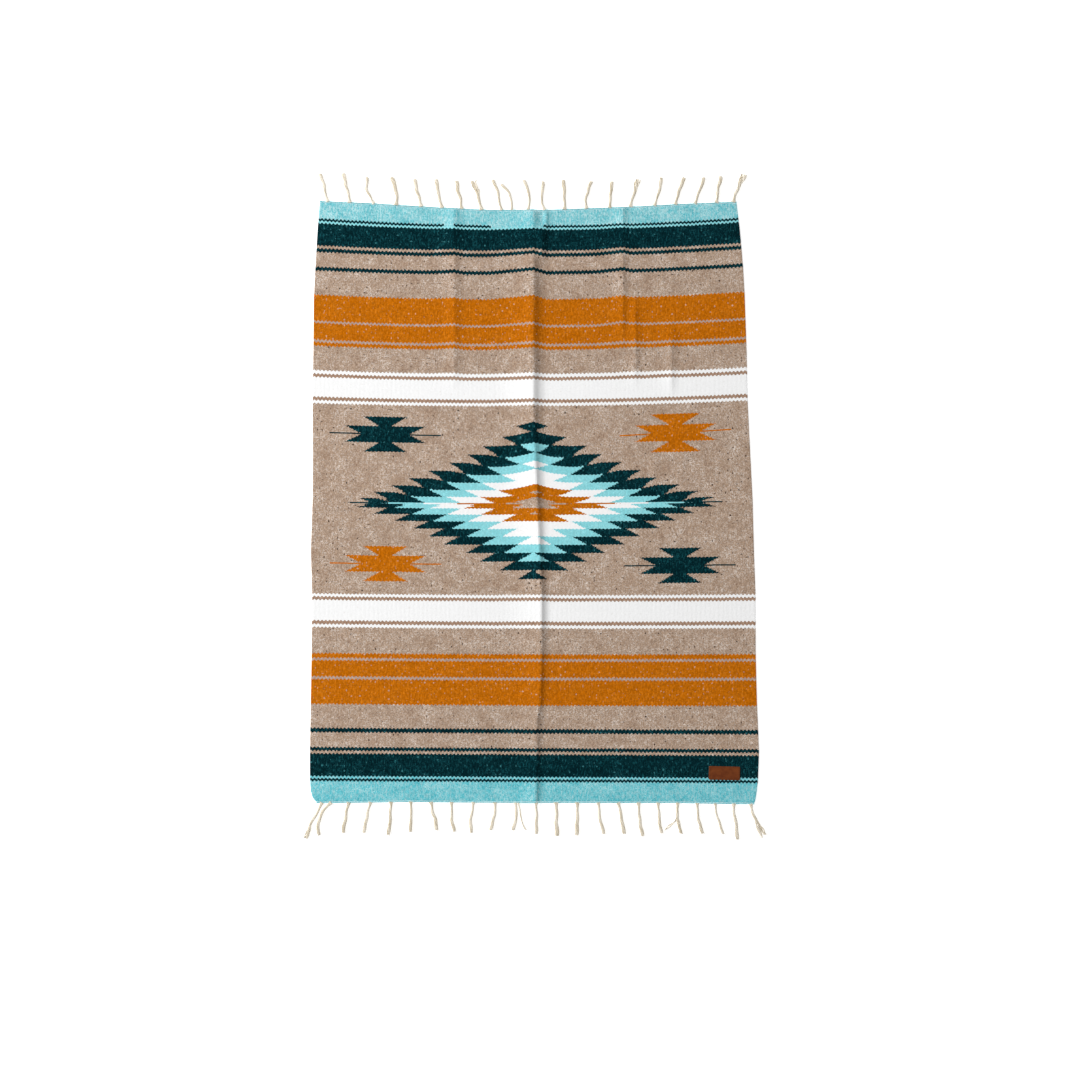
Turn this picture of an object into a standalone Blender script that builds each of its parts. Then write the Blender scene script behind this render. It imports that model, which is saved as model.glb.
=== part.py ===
"""A Mexican serape laid out flat, its woven body 1.40 m long and about 1 m wide.

One weft-faced wool panel is woven in one piece. At each end a narrow heading holds the warp ends,
which are bunched into a fringe, and a bare leather patch lies near one corner. The folds that the
serape was stored in still stand as low ridges, hollow beneath. +Y is the far end and +Z is up, and
the tables below are in millimetres.
"""

from collections import namedtuple

import bmesh
import bpy
import numpy as np

MM = 0.001
WALL = 2.5  # thickness of the cloth
SEAM = 0.3  # clearance between two pieces that touch
HALF_LENGTH = 696.0  # the headings make it up to 1.40 m
MIDDLE_Y = 9.2  # the near fringe reaches further, so the cloth's middle is past the whole part's centre

# The outline. Each section crosses the cloth at its own distance along it from the middle. Its middle
# sags back towards the near end, tilt lowers the right edge, and peak pushes it forward on the main
# crease.
Section = namedtuple("Section", "along left right sag tilt peak")
SECTIONS = (
    Section(-HALF_LENGTH, -512, 505.5, 0, 1.2, 0),
    Section(-686, -523, 507.5, 0, 1.5, 0),
    Section(-670, -528, 511, 0, 2, 0),
    Section(-647, -530, 514.5, 0, 2.3, 0),
    Section(-577, -530, 517, 0, 2.8, 0),
    Section(-460, -528, 512, 1.5, 2.4, 0),
    Section(-344, -526, 509, 2, 1.4, 0.6),
    Section(-216, -525, 509, 3, 1.2, 1.2),
    Section(-111, -528, 505, 4.5, 0, 1.4),
    Section(6, -524, 502, 6, -1, 1.7),
    Section(120, -523, 496, 8, -2, 2),
    Section(230, -524, 490.5, 9.8, -2.9, 2.3),
    Section(307, -523, 489, 12.5, -3.1, 3.2),
    Section(367, -522, 487.5, 13.5, -3.1, 5.5),
    Section(480, -521, 483.5, 15, -3, 9.5),
    Section(540, -518, 480, 14, -4, 9.3),
    Section(590, -515, 476, 15.5, -3, 7),
    Section(640, -512, 471.5, 16.5, -1.5, 3.5),
    Section(HALF_LENGTH, -507, 464.5, 18.5, 1.2, 0.5),
)
PEAK_LEFT = 105.0
PEAK_RIGHT = 32.0

# The main crease runs the whole length. It rises gently from the left and drops away on its right.
Crest = namedtuple("Crest", "along x height")
MAIN_CREASE = (
    Crest(-700, -5.4, 6),
    Crest(-623, -1.9, 6),
    Crest(-507, -1.9, 6),
    Crest(-460, 5.1, 6.5),
    Crest(-344, 8.6, 7),
    Crest(-204, 8.6, 7.5),
    Crest(146, -7.7, 9),
    Crest(239, -10, 9.5),
    Crest(700, -10, 9.5),
)
MAIN_LEFT = 85.0
MAIN_RIGHT = 50.0

# The short creases of the far half lie straight along the cloth, between their near and far ends.
Crease = namedtuple("Crease", "x height left right near far fade peak")
SHORT_CREASES = (
    Crease(-194, 3.2, 30, 20, 262, 800, 90, 3.5),
    Crease(199, 3.6, 40, 24, 350, 800, 80, 5),
    Crease(228, 3.2, 28, 24, 270, 515, 70, 2.5),
    Crease(312, 2.8, 30, 22, 235, 440, 70, 1.5),
)
SHORT_PEAK_LEFT = 60.0
SHORT_PEAK_RIGHT = 22.0
PEAKLESS_END = 110.0  # how far in from the far end the short creases push the cloth less and less

# Columns of the mesh, as places across a cloth that is 1025 mm wide with its main crease at 0. They
# crowd round the creases.
REFERENCE_LEFT = -520
REFERENCE_RIGHT = 505
COLUMNS = (
    REFERENCE_LEFT, -430, -330, -250, -224, -207, -199, -194, -189, -182, -174, -140, -105, -85, -60,
    -38, -18, -6, 0, 4, 10, 18, 32, 50, 100, 139, 178, 190, 199, 204, 211, 220, 228, 235, 243, 252,
    282, 298, 306, 312, 317, 324, 334, 400, 460, REFERENCE_RIGHT,
)  # fmt: skip
ROWS_BETWEEN = 2  # rows of the mesh from one section to the next

# The fringe. A heading follows each end of the cloth, and every knotted bunch of warp leaves it at its
# root, leans and bows sideways and reaches out along the floor. Full is its share of a whole bunch.
HEADING_DEPTH = 4.0
HEADING_RISE = 0.3
HEADING_HEIGHT = 2.6
FLOOR_GAP = 0.3
ROOT_WIDTH = 7.6
Bunch = namedtuple("Bunch", "root lean reach bow full")
FAR_BUNCHES = (
    Bunch(-489, -17.5, 65, 0, 0.9),
    Bunch(-438, -15, 69, 2, 1),
    Bunch(-382, -14.5, 64, -7, 0.8),
    Bunch(-329, -12, 67, 5, 1.1),
    Bunch(-271, -15.5, 65, 0, 1),
    Bunch(-223, -14, 67, 0, 1),
    Bunch(-177, -12, 65, 1, 1),
    Bunch(-134, -19, 67, 0, 0.55),
    Bunch(-128.5, -14.5, 66, 1, 0.55),
    Bunch(-84.5, -19.5, 69, 1, 0.8),
    Bunch(-60, -25, 58, 7.5, 0.75),
    Bunch(-21, -11.5, 68, 7, 0.8),
    Bunch(16, -2.5, 65, -4, 0.9),
    Bunch(63, -3.5, 69, 2, 1),
    Bunch(114, 13.5, 64, -6, 0.9),
    Bunch(169, 5.5, 63, 0, 0.9),
    Bunch(217.5, 18.5, 66, -2, 1),
    Bunch(273.5, 15, 69, 2, 0.9),
    Bunch(322, 21, 66, -2, 1),
    Bunch(368, 20, 64, 2, 0.9),
    Bunch(417.5, 10, 63, 0, 1),
    Bunch(457, 25.5, 65, -2, 1.1),
)
NEAR_BUNCHES = (
    Bunch(-503, -33, 80, -1, 0.9),
    Bunch(-483, -24, 73, -7, 0.9),
    Bunch(-440, -12, 68, -2, 1),
    Bunch(-389, -16, 68, -1, 1),
    Bunch(-341.5, -7, 75, 1, 1),
    Bunch(-295, -1, 68, 0, 0.9),
    Bunch(-248, 14, 63, 0, 1),
    Bunch(-200, 7, 66, -3, 0.9),
    Bunch(-149.5, -5, 68, -1, 0.9),
    Bunch(-99, -12, 61, 6, 0.9),
    Bunch(-51, -7, 61, 5, 0.9),
    Bunch(-44, 18, 61, -4, 0.35),
    Bunch(-2.5, 0, 70, 0, 0.9),
    Bunch(44, 2, 75, 0, 1.1),
    Bunch(93, -2, 73, 0, 1.1),
    Bunch(142, 13, 70, -1, 0.9),
    Bunch(189, 14, 70, 1, 1),
    Bunch(236, 10, 75, -2, 1),
    Bunch(281.5, 9, 68, -3, 0.9),
    Bunch(324, -26, 68, 7.5, 0.6),
    Bunch(330, 6, 61, -4, 0.6),
    Bunch(372.5, 14, 68, -4, 0.9),
    Bunch(414.5, 20, 68, -4, 0.7),
    Bunch(458, 9, 80, -2, 1),
    Bunch(494.5, 26, 75, -4, 0.6),
    Bunch(500.5, 32, 68, -6, 0.6),
)
# A bunch is narrow under its knot, swells towards the tip and is rounded off there.
Girth = namedtuple("Girth", "share width height")
GIRTHS = (
    Girth(0.12, 4.4, 3.2),
    Girth(0.36, 5.2, 3.8),
    Girth(0.62, 6.4, 4.6),
    Girth(0.88, 8.0, 5.4),
    Girth(1.0, 4.2, 2.8),
)
FALL_SHARE = 0.3  # how soon a bunch is down on the floor

# The leather patch, cut square with slightly rounded corners.
PATCH_X = 436.0
PATCH_ALONG = -629.0
PATCH_LENGTH = 72.5
PATCH_WIDTH = 33.0
PATCH_CORNER = 2.0
PATCH_THICKNESS = 1.6
PATCH_TURN = np.radians(-1.5)


def between(table, field, along):
    """The value of one column of a table, read in a straight line between its rows."""
    return np.interp(along, [row.along for row in table], [getattr(row, field) for row in table])


def main_crease_x(along):
    return between(MAIN_CREASE, "x", along)


def across(place, along):
    """Where a column lies across the cloth, at a section: the edges and the main crease wander."""
    places = (REFERENCE_LEFT, SHORT_CREASES[0].x, 0, SHORT_CREASES[1].x, SHORT_CREASES[3].x, REFERENCE_RIGHT)
    lies_at = (
        between(SECTIONS, "left", along),
        SHORT_CREASES[0].x,
        main_crease_x(along),
        SHORT_CREASES[1].x,
        SHORT_CREASES[3].x,
        between(SECTIONS, "right", along),
    )
    return np.interp(place, places, lies_at)


def fading(along, crease):
    """1 along a short crease and 0 past its ends."""
    inside = min(along - crease.near, crease.far - along) / crease.fade
    share = min(1.0, max(0.0, inside))
    return share * share * (3 - 2 * share)


def peak_share(off, left, right):
    """1 on a crease, falling straight to 0 over a run to its left and a shorter one to its right."""
    return max(0.0, 1 - abs(off) / (left if off < 0 else right))


def forward(x, along):
    """How far along the part a point of a section lies, after sag, tilt and the creases' peaks."""
    left = between(SECTIONS, "left", along)
    right = between(SECTIONS, "right", along)
    side = (2 * x - left - right) / (right - left)
    off = x - main_crease_x(along)
    pushed = between(SECTIONS, "peak", along) * peak_share(off, PEAK_LEFT, PEAK_RIGHT)
    inside = min(1.0, (HALF_LENGTH - along) / PEAKLESS_END)
    for crease in SHORT_CREASES:
        share = peak_share(x - crease.x, SHORT_PEAK_LEFT, SHORT_PEAK_RIGHT)
        pushed += crease.peak * inside * fading(along, crease) * share
    sag = between(SECTIONS, "sag", along) * (1 - side**2)
    return along - sag - between(SECTIONS, "tilt", along) * side + pushed


def ridge(off, left, right):
    """The cross-section of a crease, 1 at its crest: a gentle rise from the left, a steeper drop."""
    if off < 0:
        return max(0.0, 1 + off / left) ** 2
    return max(0.0, 1 - off / right) ** 3


def lift(x, along):
    """How high the cloth's underside stands off the floor."""
    main = ridge(x - main_crease_x(along), MAIN_LEFT, MAIN_RIGHT)
    height = between(MAIN_CREASE, "height", along) * main
    for crease in SHORT_CREASES:
        height += crease.height * fading(along, crease) * ridge(x - crease.x, crease.left, crease.right)
    return height


def underside(x, along):
    return np.array((x, MIDDLE_Y + forward(x, along), lift(x, along)))


def outward_normal(x, along):
    step = 0.5
    over = underside(x + step, along) - underside(x - step, along)
    up_cloth = underside(x, along + step) - underside(x, along - step)
    normal = np.cross(over, up_cloth)
    return normal / np.linalg.norm(normal)


def face_side(x, along, out=0.0):
    """A point of the cloth's upper face, or one moved out from it by the distance given."""
    return underside(x, along) + (WALL + out) * outward_normal(x, along)


def add_object(name, points, faces, colour, roughness):
    """One closed body from points in millimetres, its faces turned outwards, in its own material."""
    mesh = bpy.data.meshes.new(name)
    mesh.from_pydata([tuple(np.asarray(point) * MM) for point in points], [], faces)
    turned = bmesh.new()
    turned.from_mesh(mesh)
    bmesh.ops.recalc_face_normals(turned, faces=turned.faces)
    turned.to_mesh(mesh)
    turned.free()
    material = bpy.data.materials.new(name)
    material.use_nodes = True
    shader = material.node_tree.nodes["Principled BSDF"]
    shader.inputs["Base Color"].default_value = (*colour, 1)
    shader.inputs["Roughness"].default_value = roughness
    mesh.materials.append(material)
    made = bpy.data.objects.new(name, mesh)
    bpy.context.scene.collection.objects.link(made)
    return made


def mesh_rows():
    """The sections' places along the cloth, with evenly spaced ones between."""
    places = [section.along for section in SECTIONS]
    rows = []
    for start, end in zip(places, places[1:]):
        steps = ROWS_BETWEEN if end - start > 30 else 1
        rows += [start + (end - start) * step / steps for step in range(steps)]
    return rows + [places[-1]]


def woven_cloth():
    """The panel: an underside and an upper face on the same grid, closed by a wall all round."""
    rows = mesh_rows()
    grid = [(across(place, along), along) for along in rows for place in COLUMNS]
    wide, tall = len(COLUMNS), len(rows)
    top = wide * tall
    points = [underside(x, along) for x, along in grid] + [face_side(x, along) for x, along in grid]
    faces = []
    for row in range(tall - 1):
        for column in range(wide - 1):
            near_left = row * wide + column
            square = (near_left, near_left + 1, near_left + wide + 1, near_left + wide)
            faces.append(square[::-1])
            faces.append(tuple(corner + top for corner in square))
    rim = [column for column in range(wide)]
    rim += [row * wide + wide - 1 for row in range(1, tall)]
    rim += [(tall - 1) * wide + column for column in range(wide - 2, -1, -1)]
    rim += [row * wide for row in range(tall - 2, 0, -1)]
    for here, after in zip(rim, rim[1:] + rim[:1]):
        faces.append((here, after, after + top, here + top))
    return add_object("woven_cloth", points, faces, (0.03, 0.24, 0.28), 0.9)


def heading_stations(bunches, end):
    """Places along a heading, with True where a bunch's root starts there and ends at the next one."""
    left = float(between(SECTIONS, "left", end)) + 0.5
    right = float(between(SECTIONS, "right", end)) - 0.5
    stations = {left: False, right: False}
    for bunch in bunches:
        half = ROOT_WIDTH * min(1.0, bunch.full) / 2
        stations[bunch.root - half] = True
        stations[bunch.root + half] = False
    rooted = list(stations)
    for place in COLUMNS:
        x = float(across(place, end))
        clear = all(abs(x - station) > 3 for station in rooted)
        in_root = any(abs(x - bunch.root) < ROOT_WIDTH for bunch in bunches)
        if clear and not in_root and left < x < right:
            stations[x] = False
    return sorted(stations.items())


def bunch_rings(bunch, start, outward, root_height):
    """The four-sided rings of one bunch, corner down so that it lies on the floor by an edge."""
    rings = []
    for girth in GIRTHS:
        share = girth.share
        bowed = bunch.bow * 4 * share * (1 - share)
        tangent = np.array((bunch.lean + bunch.bow * 4 * (1 - 2 * share), outward * bunch.reach))
        tangent /= np.linalg.norm(tangent)
        side = np.array((tangent[1], -tangent[0], 0)) * outward
        half_width = girth.width * bunch.full / 2
        half_height = girth.height * min(1.0, bunch.full) / 2
        held = max(0.0, 1 - share / FALL_SHARE) ** 2
        lying = FLOOR_GAP + half_height
        centre = np.array(
            (
                bunch.root + bunch.lean * share + bowed,
                start + outward * bunch.reach * share,
                lying + held * max(0.0, root_height - lying),
            )
        )
        up = np.array((0, 0, half_height))
        rings.append((centre - up, centre + side * half_width, centre + up, centre - side * half_width))
    return rings


def fringe(name, bunches, end, outward):
    """The heading that follows one end of the cloth, with its bunches drawn out of the outer face."""
    stations = heading_stations(bunches, end)
    edge = np.array([underside(across(place, end), end) for place in COLUMNS])
    points, faces = [], []
    for x, _ in stations:
        inner = np.interp(x, edge[:, 0], edge[:, 1]) + outward * SEAM
        outer = inner + outward * HEADING_DEPTH
        low = lift(x, end) + HEADING_RISE
        high = low + HEADING_HEIGHT
        points += [(x, inner, low), (x, outer, low), (x, outer, high), (x, inner, high)]
    by_root = iter(bunches)
    for index, (x, rooted) in enumerate(stations[:-1]):
        here, after = 4 * index, 4 * index + 4
        for corner in (0, 2, 3):
            other = (corner + 1) % 4
            faces.append((here + corner, after + corner, after + other, here + other))
        ring = (here + 1, after + 1, after + 2, here + 2)
        if rooted:
            bunch = next(by_root)
            start = points[here + 1][1]
            middle = (points[here + 1][2] + points[here + 2][2]) / 2
            for corners in bunch_rings(bunch, start, outward, middle):
                following = tuple(range(len(points), len(points) + 4))
                points += corners
                for a in range(4):
                    b = (a + 1) % 4
                    faces.append((ring[a], ring[b], following[b], following[a]))
                ring = following
        faces.append(ring)
    last = 4 * (len(stations) - 1)
    faces.append((0, 1, 2, 3))
    faces.append((last + 3, last + 2, last + 1, last))
    return add_object(name, points, faces, (0.68, 0.6, 0.46), 0.95)


def patch_outline():
    """The patch's outline round its own centre, each corner cut by three points of its rounding."""
    outline = []
    for turn, (sx, sy) in enumerate(((1, 1), (-1, 1), (-1, -1), (1, -1))):
        for part in (0, 0.5, 1):
            angle = np.radians(90 * (turn + part))
            x = sx * (PATCH_LENGTH / 2 - PATCH_CORNER) + PATCH_CORNER * np.cos(angle)
            y = sy * (PATCH_WIDTH / 2 - PATCH_CORNER) + PATCH_CORNER * np.sin(angle)
            outline.append((x, y))
    return outline


def leather_patch():
    """The patch, made from the cloth's own upper face moved out by the seam's clearance."""
    cos, sin = np.cos(PATCH_TURN), np.sin(PATCH_TURN)
    lower, upper = [], []
    for x, y in patch_outline():
        at = (PATCH_X + x * cos - y * sin, PATCH_ALONG + x * sin + y * cos)
        lower.append(face_side(*at, out=SEAM))
        upper.append(face_side(*at, out=SEAM + PATCH_THICKNESS))
    count = len(lower)
    faces = [tuple(range(count))[::-1], tuple(range(count, 2 * count))]
    for here in range(count):
        after = (here + 1) % count
        faces.append((here, after, after + count, here + count))
    return add_object("leather_patch", lower + upper, faces, (0.13, 0.035, 0.01), 0.6)


for startup_object in list(bpy.data.objects):
    bpy.data.objects.remove(startup_object)

woven_cloth()
fringe("fringe_far", FAR_BUNCHES, HALF_LENGTH, 1)
fringe("fringe_near", NEAR_BUNCHES, -HALF_LENGTH, -1)
leather_patch()
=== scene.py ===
"""The looks of a Mexican serape that lies flat on a pale floor, seen from straight above."""

import math
from collections import namedtuple

import bpy
import numpy as np
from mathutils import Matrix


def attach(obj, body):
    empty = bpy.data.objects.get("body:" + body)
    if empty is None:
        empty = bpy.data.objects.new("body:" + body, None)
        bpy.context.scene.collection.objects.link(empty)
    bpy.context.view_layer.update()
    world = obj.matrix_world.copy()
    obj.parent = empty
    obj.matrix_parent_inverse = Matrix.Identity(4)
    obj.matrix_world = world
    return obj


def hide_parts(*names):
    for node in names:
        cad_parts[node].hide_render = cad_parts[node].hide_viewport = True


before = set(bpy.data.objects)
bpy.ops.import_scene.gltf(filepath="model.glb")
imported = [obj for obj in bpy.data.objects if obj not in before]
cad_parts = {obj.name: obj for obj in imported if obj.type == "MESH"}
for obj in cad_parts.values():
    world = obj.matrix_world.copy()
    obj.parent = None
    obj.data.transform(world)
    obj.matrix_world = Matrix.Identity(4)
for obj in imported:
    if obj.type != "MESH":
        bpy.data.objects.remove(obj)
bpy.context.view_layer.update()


# The camera hangs straight above the cloth, with the far end at the top of its frame. Its long lens
# and its distance take in 2.52 m of floor, so the cloth has the size in the frame that it should.
LENS = 85.0
SENSOR = 36.0
FRAME_SIDE = 2.518
FRAME_CENTRE = (0.0063, -0.0781)

camera_data = bpy.data.cameras.new("camera")
camera_data.lens = LENS
camera_data.sensor_width = SENSOR
camera_data.clip_end = 100
camera = bpy.data.objects.new("camera", camera_data)
camera.location = (*FRAME_CENTRE, FRAME_SIDE * LENS / SENSOR)
bpy.context.scene.collection.objects.link(camera)
bpy.context.scene.camera = camera


# The floor is a white light table, as product studios use. It glows a little, so it comes out white
# and the shadows on it stay faint.
MM = 0.001
FLOOR_HALF = 40000.0
FLOOR_DROP = 0.6
FLOOR_GLOW = 0.6


def linear(hex_colour):
    """An sRGB hex colour as linear red, green, blue and alpha."""
    parts = [int(hex_colour[place : place + 2], 16) / 255 for place in (1, 3, 5)]
    return (*[p / 12.92 if p <= 0.04045 else ((p + 0.055) / 1.055) ** 2.4 for p in parts], 1.0)


def add(tree, kind, inputs, out=0, **settings):
    """Adds a node with its settings. Each input, by name or number, takes a socket or a value."""
    node = tree.nodes.new(kind)
    for name, setting in settings.items():
        setattr(node, name, setting)
    for place, value in inputs.items():
        if isinstance(value, bpy.types.NodeSocket):
            tree.links.new(value, node.inputs[place])
        else:
            node.inputs[place].default_value = value
    return node.outputs[out]


def new_material(name, roughness, specular, **even):
    """A material with the settings of its Principled shader that are the same all over."""
    material = bpy.data.materials.new(name)
    material.use_nodes = True
    shader = material.node_tree.nodes["Principled BSDF"]
    even = {"Roughness": roughness, "Specular IOR Level": specular, **even}
    for socket, value in even.items():
        shader.inputs[socket].default_value = value
    return material, material.node_tree, shader


def new_object(name, points, faces, edges=()):
    """An object in the scene with a mesh of points in millimetres."""
    mesh = bpy.data.meshes.new(name)
    mesh.from_pydata((np.asarray(points) * MM).tolist(), list(edges), faces)
    made = bpy.data.objects.new(name, mesh)
    bpy.context.scene.collection.objects.link(made)
    return made


floor_corners = [(FLOOR_HALF * x, FLOOR_HALF * y) for x, y in ((-1, -1), (1, -1), (1, 1), (-1, 1))]
floor = new_object("floor", [(x, y, -FLOOR_DROP) for x, y in floor_corners], [(0, 1, 2, 3)])
glow = {"Emission Color": (1, 1, 1, 1), "Emission Strength": FLOOR_GLOW}
white_acrylic, tree, shader = new_material("matt_white_acrylic", 0.9, 0.0, **glow)
shader.inputs["Base Color"].default_value = linear("#F4F4F4")
floor.data.materials.append(white_acrylic)


# The light is a white studio all round and one broad lamp at the left, low enough to draw the creases
# and near enough to fall off a little across the cloth.
ROOM_LIGHT = 0.4
LAMP_DISTANCE = 9.0
LAMP_WATTS = 900.0
LAMP_SIZE = 1.5
LAMP_ELEVATION = math.radians(34)
LAMP_TURN = math.radians(18)

world = bpy.data.worlds.new("studio")
world.use_nodes = True
world.node_tree.nodes["Background"].inputs["Color"].default_value = (1, 1, 1, 1)
world.node_tree.nodes["Background"].inputs["Strength"].default_value = ROOM_LIGHT
bpy.context.scene.world = world
lamp_data = bpy.data.lights.new("left_lamp", "AREA")
lamp_data.shape = "DISK"
lamp_data.size = LAMP_SIZE
lamp_data.energy = LAMP_WATTS
lamp = bpy.data.objects.new("left_lamp", lamp_data)
reach = LAMP_DISTANCE * math.cos(LAMP_ELEVATION)
lamp_height = LAMP_DISTANCE * math.sin(LAMP_ELEVATION)
lamp.location = (-reach * math.cos(LAMP_TURN), reach * math.sin(LAMP_TURN), lamp_height)
lamp.rotation_euler = (0, LAMP_ELEVATION - math.pi / 2, -LAMP_TURN)
bpy.context.scene.collection.objects.link(lamp)
bpy.context.scene.view_settings.view_transform = "Standard"


# The serape's one panel is woven on a treadle loom in a weft-faced weave: thick wool weft beaten down
# over a hidden cotton warp, which shows as fine ribs along the cloth. It lies flat, with the creases
# that it was folded on for storage still standing.
WALL = 2.5
HALF_LENGTH = 696.0
MIDDLE_Y = 9.2

# The cloth's sections, from the near end to the far one: where each lies, its two edges, how far its
# middle sags back, how far it tilts, and how far the main crease pushes it on.
Section = namedtuple("Section", "along left right sag tilt peak")
SECTIONS = (
    Section(-HALF_LENGTH, -515, 506, 1.8, 2.9, 0),
    Section(-690, -522, 508.5, 0.8, 2.6, 0),
    Section(-682, -526, 510, 0, 2.4, 0),
    Section(-670, -528.7, 511.5, 0, 2.4, 0),
    Section(-647, -530, 514.5, 0, 2.4, 0),
    Section(-577, -530, 517, 0, 2.8, 0),
    Section(-460, -528, 512, 1.5, 2.4, 0),
    Section(-344, -526, 509, 2, 1.4, 0.6),
    Section(-216, -525, 509, 3, 1.2, 1.2),
    Section(-111, -528, 505, 4.5, 0, 1.4),
    Section(6, -524, 502, 6, -1, 1.7),
    Section(120, -523, 496, 8, -2, 2),
    Section(230, -524, 490.5, 9.8, -2.9, 2.3),
    Section(307, -523, 489, 12.5, -3.1, 3.2),
    Section(367, -522, 487.5, 13.5, -3.1, 5.5),
    Section(480, -521, 483.5, 15, -3, 9.5),
    Section(540, -518, 480, 14, -4, 9.3),
    Section(590, -515, 476, 15.5, -3, 7),
    Section(640, -512, 471.5, 16.5, -1.5, 3.5),
    Section(HALF_LENGTH, -507, 464.5, 18.5, 1.2, 0.5),
)

# The push reaches this far to the crease's left and right.
PEAK_LEFT = 105.0
PEAK_RIGHT = 32.0

# How far each end's edge stands out beyond the run of its stripes, from place to place.
EndBow = namedtuple("EndBow", "x far near")
END_BOWS = (
    EndBow(-515, 2.5, 4.3),
    EndBow(-400, 5.8, 1.5),
    EndBow(-300, 5.0, -1.2),
    EndBow(-120, 1.0, -0.8),
    EndBow(0, 1.2, -1.3),
    EndBow(110, 4.0, -1.6),
    EndBow(330, 6.5, -2.0),
    EndBow(430, 4.5, 0.2),
    EndBow(500, 1.5, 1.0),
)
END_BOW_RUN = 34.0

# The main crease's crest, which wanders and grows along the cloth.
Crest = namedtuple("Crest", "along x height")
MAIN_CREASE = (
    Crest(-700, -5.4, 6),
    Crest(-623, -1.9, 6),
    Crest(-507, -1.9, 6),
    Crest(-460, 5.1, 6.5),
    Crest(-344, 8.6, 7),
    Crest(-204, 8.6, 7.5),
    Crest(146, -7.7, 9),
    Crest(239, -10, 9.5),
    Crest(630, -10, 9.5),
    Crest(700, -10, 6.5),
)

# The short creases: their slopes' runs to the left and right, where they start and end along the cloth
# and fade, how far they push it along, and how softly their crests turn.
Crease = namedtuple("Crease", "x height left right near far fade peak turn")
SHORT_CREASES = (
    Crease(-194, 3.7, 30, 34, 262, 800, 90, 3.5, 4.5),
    Crease(199, 3.6, 40, 24, 350, 800, 80, 5, 2),
    Crease(228, 3.2, 28, 24, 270, 515, 70, 2.5, 2),
    Crease(312, 2.8, 30, 24, 235, 440, 70, 1.5, 3),
)
SHORT_PEAK_LEFT = 60.0
SHORT_PEAK_RIGHT = 22.0
PEAKLESS_END = 110.0

# A second fold beside the main one at the far end, too slight to push the cloth along. It steps aside
# in the outermost stripe.
SECOND_FOLD = (
    Crease(11, 8, 16, 20, 570, 672, 35, 0, 8),
    Crease(20, 3, 10, 18, 636, 712, 30, 0, 2),
)

# Low bumps that a finger or the folding has left.
Dent = namedtuple("Dent", "x along height across lengthways")
DENTS = (
    Dent(-230, 111, 1.5, 10, 20),
    Dent(272, 95, 1.7, 10, 26),
    Dent(338, 95, 1.7, 10, 24),
)

# The shell's columns lie close together on the creases, and its edges round over.
REFERENCE_LEFT = -520.0
REFERENCE_RIGHT = 505.0
COLUMN_STEP = 6.5
CREASE_STEP = 1.7
NEAR_CREASE = (10, 22)
NEAR_MAIN_CREASE = (12, 40)
ROW_STEP = 11.0
EDGE_ROUND = 1.2
EDGE_SHARE = 0.45
EDGE_LIFT = 0.35
EDGE_POINTS = (0.25, 0.7, 1.6, 4.0, 8.0)
EDGE_CLEAR = 10.0

# The main crease's left slope runs one distance. The run of its right slope and the turn of its crest
# change along the cloth.
MAIN_LEFT = 85.0
Turn = namedtuple("Turn", "along right turn")
MAIN_TURN = (
    Turn(-700, 24, 2),
    Turn(0, 28, 2.2),
    Turn(250, 38, 4),
    Turn(700, 40, 4),
)


def between(table, field, along):
    """The values of one column of a table, read in a straight line between its rows."""
    return np.interp(along, [row.along for row in table], [getattr(row, field) for row in table])


def across(place, along):
    """Where a column lies across the cloth, at a section: the edges and the main crease wander."""
    held = [SHORT_CREASES[0].x, 0.0, SHORT_CREASES[1].x, SHORT_CREASES[3].x]
    places = [REFERENCE_LEFT, *held, REFERENCE_RIGHT]
    lies_at = [between(SECTIONS, "left", along), *held, between(SECTIONS, "right", along)]
    lies_at[2] = between(MAIN_CREASE, "x", along)
    return np.interp(place, places, lies_at)


def fading(along, crease):
    """1 along a short crease and 0 past its ends."""
    share = np.clip(np.minimum(along - crease.near, crease.far - along) / crease.fade, 0, 1)
    return share * share * (3 - 2 * share)


def peak_share(off, left, right):
    """1 on a crease, falling straight to 0 over a run to its left and a shorter one to its right."""
    return np.maximum(0, 1 - np.abs(off) / np.where(off < 0, left, right))


def forward(x, along):
    """How far along the part a point of a section lies, after sag, tilt and the creases' peaks."""
    left = between(SECTIONS, "left", along)
    right = between(SECTIONS, "right", along)
    side = (2 * x - left - right) / (right - left)
    off = x - between(MAIN_CREASE, "x", along)
    pushed = between(SECTIONS, "peak", along) * peak_share(off, PEAK_LEFT, PEAK_RIGHT)
    inside = np.minimum(1, (HALF_LENGTH - along) / PEAKLESS_END)
    for crease in SHORT_CREASES:
        share = peak_share(x - crease.x, SHORT_PEAK_LEFT, SHORT_PEAK_RIGHT)
        pushed = pushed + crease.peak * inside * fading(along, crease) * share
    sag = between(SECTIONS, "sag", along) * (1 - side**2)
    places = [bow.x for bow in END_BOWS]
    far_bow = np.interp(x, places, [bow.far for bow in END_BOWS])
    near_bow = np.interp(x, places, [bow.near for bow in END_BOWS])
    at_end = np.clip((np.abs(along) - HALF_LENGTH) / END_BOW_RUN + 1, 0, 1)
    bowed = at_end * np.where(np.asarray(along) > 0, far_bow, -near_bow)
    return along - sag - between(SECTIONS, "tilt", along) * side + pushed + bowed


def ridge(off, left, right, turn):
    """The cross-section of a crease, 1 at its rounded crest: a gentle rise from the left, then a drop."""
    off = np.sign(off) * (np.sqrt(off**2 + turn**2) - turn)
    rise = np.clip(1 + off / left, 0, 1) ** 2
    drop = np.clip(1 - off / right, 0, 1) ** 3
    return np.where(off < 0, rise, drop)


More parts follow.
